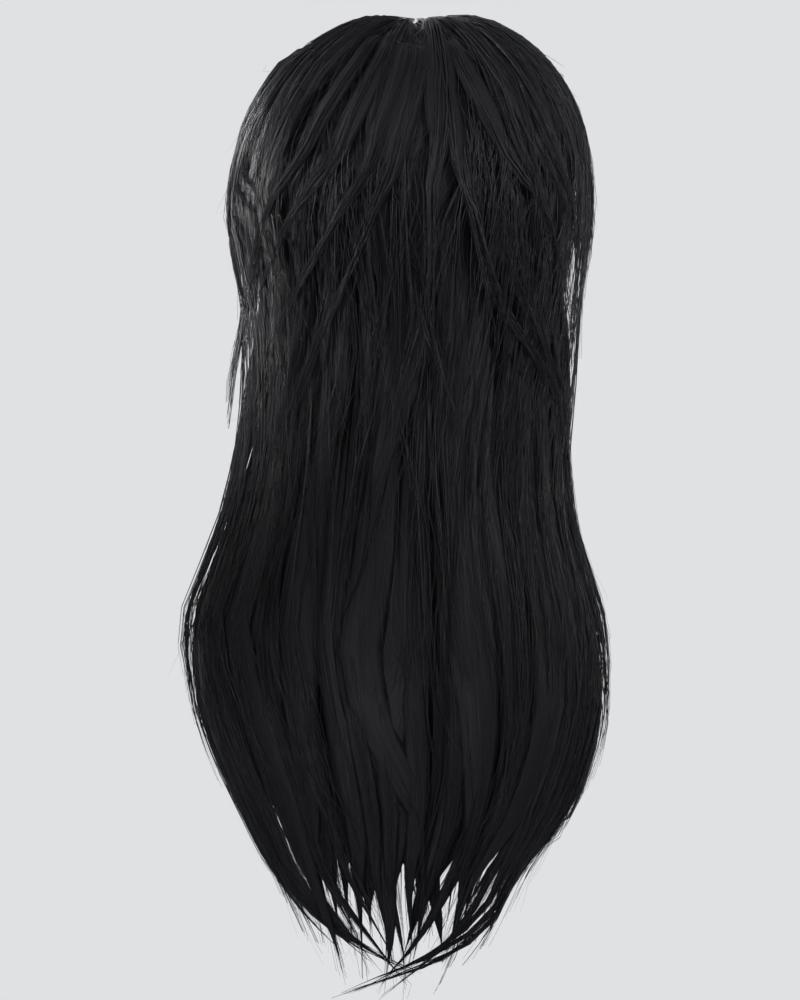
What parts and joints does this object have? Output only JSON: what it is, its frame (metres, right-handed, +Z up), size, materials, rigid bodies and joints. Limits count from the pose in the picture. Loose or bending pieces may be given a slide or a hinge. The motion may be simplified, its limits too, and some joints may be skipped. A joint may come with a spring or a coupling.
{
  "type": "lace front wig",
  "caption": "Long layered straight wig on an open net cap, with a sheer lace hairline from ear tab to ear tab, in its worn form.",
  "frame": {"origin": "inside of the cap at the crown, where the top of the head seats", "axes": "+Z up out of the crown; the face looks along -Y and the back of the head along +Y; +X is the wearer's left"},
  "size_m": [0.3006, 0.2172, 0.6656],
  "materials": {
    "cap_net": "matt black stretch net",
    "lace": "sheer flesh-toned lace, matt",
    "hair": "soft black synthetic fibre with a low gloss"
  },
  "bodies": {
    "root": {"cap": "cap_net", "lace_front": "lace", "weft_nape": "hair", "weft_low": "hair", "weft_back": "hair", "weft_middle": "hair", "weft_upper": "hair", "crown_hair": "hair", "side_hair_left": "hair", "side_hair_right": "hair", "front_hair_left": "hair", "front_hair_right": "hair"}
  },
  "joints": []
}
